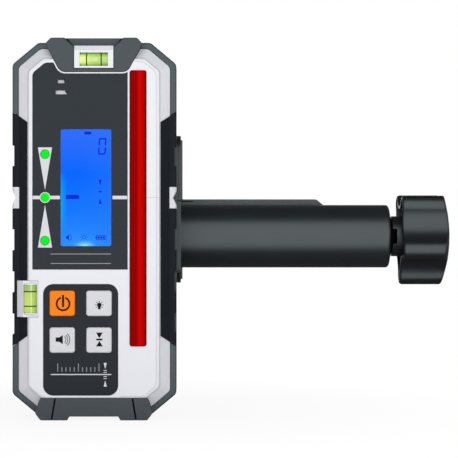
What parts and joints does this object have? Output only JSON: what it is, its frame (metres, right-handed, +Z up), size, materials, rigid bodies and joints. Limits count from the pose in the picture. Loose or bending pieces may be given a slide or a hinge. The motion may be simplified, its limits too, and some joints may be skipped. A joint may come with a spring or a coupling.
{
  "type": "laser receiver",
  "caption": "Hand-held laser level receiver with a lit display, tall red sensor window, soft keys, level vials, rubber bumpers and a screw clamp for a levelling staff.",
  "frame": {"origin": "on the fixed jaw's face, at the flat back of the clamp arm, level with the zero mark", "axes": "+X from the fixed jaw along the arm to the knob, +Y away from the display, +Z up"},
  "size_m": [0.2077, 0.0848, 0.1761],
  "materials": {
    "white_plastic": "fine satin moulding",
    "grey_plastic": "fine grained moulding",
    "bumper_rubber": "matt grey overmould",
    "grip_rubber": "matt black",
    "panel_print": "printed satin film",
    "display_blue": "lit blue display",
    "filter_red": "polished tinted filter",
    "light_green": "lit green light pipe",
    "key_orange": "soft silicone",
    "key_grey": "soft silicone",
    "board_green": "solder mask",
    "component_black": "moulded",
    "vial_fluid": "clear tube of tinted liquid",
    "cell_wrap": "printed sleeve",
    "steel": "zinc plated",
    "brass": "turned",
    "arm_nylon": "fine textured glass-filled nylon",
    "knob_black": "polished moulding"
  },
  "bodies": {
    "receiver": {"front_shell": "white_plastic", "top_vial_holder": "white_plastic", "side_vial_holder": "white_plastic", "left_mark": "white_plastic", "right_mark": "white_plastic", "backlight": "white_plastic", "rear_shell": "grey_plastic", "battery_tray": "grey_plastic", "top_bumper": "bumper_rubber", "bottom_bumper": "bumper_rubber", "left_grip": "grip_rubber", "right_grip": "grip_rubber", "housing_seal": "grip_rubber", "fixed_jaw_pad": "grip_rubber", "display_panel": "panel_print", "keypad_panel": "panel_print", "display_window": "display_blue", "lcd_module": "display_blue", "sensor_window": "filter_red", "position_lights": "light_green", "main_board": "board_green", "sensor_board": "board_green", "key_switches": "component_black", "photodiodes": "component_black", "buzzer": "component_black", "top_vial": "vial_fluid", "side_vial": "vial_fluid", "battery_cells": "cell_wrap", "case_screws": "steel", "board_screws": "steel", "battery_contacts": "steel", "door_pin": "steel", "thread_insert": "brass", "inner_bush": "brass", "clamp_arm": "arm_nylon", "end_bush": "arm_nylon"},
    "power": {"power_key": "key_orange"},
    "light": {"light_key": "key_grey"},
    "sound": {"sound_key": "key_grey"},
    "precision": {"precision_key": "key_grey"},
    "knob": {"spindle": "steel", "knob": "knob_black", "knob_screw": "steel", "knob_cap": "knob_black", "thrust_washer": "steel"},
    "jaw": {"moving_jaw": "arm_nylon", "moving_jaw_pad": "grip_rubber"},
    "door": {"battery_door": "grey_plastic"},
    "mount_screw": {"mount_screw": "knob_black"}
  },
  "joints": [
    {"name": "power_press", "type": "slide", "parent": "receiver", "child": "power", "axis": [0, 1, 0], "range_m": [0, 0.0009], "stiffness_N_per_m": 1500},
    {"name": "light_press", "type": "slide", "parent": "receiver", "child": "light", "axis": [0, 1, 0], "range_m": [0, 0.0009], "stiffness_N_per_m": 1500},
    {"name": "sound_press", "type": "slide", "parent": "receiver", "child": "sound", "axis": [0, 1, 0], "range_m": [0, 0.0009], "stiffness_N_per_m": 1500},
    {"name": "precision_press", "type": "slide", "parent": "receiver", "child": "precision", "axis": [0, 1, 0], "range_m": [0, 0.0009], "stiffness_N_per_m": 1500},
    {"name": "knob_turn", "type": "hinge", "parent": "receiver", "child": "knob", "pos_m": [0, -0.0117, -0.018], "axis": [-1, 0, 0], "range_deg": [0, 4103]},
    {"name": "jaw_slide", "type": "slide", "parent": "receiver", "child": "jaw", "axis": [-1, 0, 0], "range_m": [0, 0.057]},
    {"name": "door_hinge", "type": "hinge", "parent": "receiver", "child": "door", "pos_m": [-0.0408, -0.02845, -0.0934], "axis": [-1, 0, 0], "range_deg": [0, 100]},
    {"name": "mount_screw_turn", "type": "hinge", "parent": "receiver", "child": "mount_screw", "pos_m": [-0.0408, -0.02485, -0.008], "axis": [0, 1, 0], "range_deg": [0, 360]}
  ],
  "couplings": [
    {"joint": "jaw_slide", "follows": "knob_turn", "m_per_rad": 0.00079577}
  ]
}
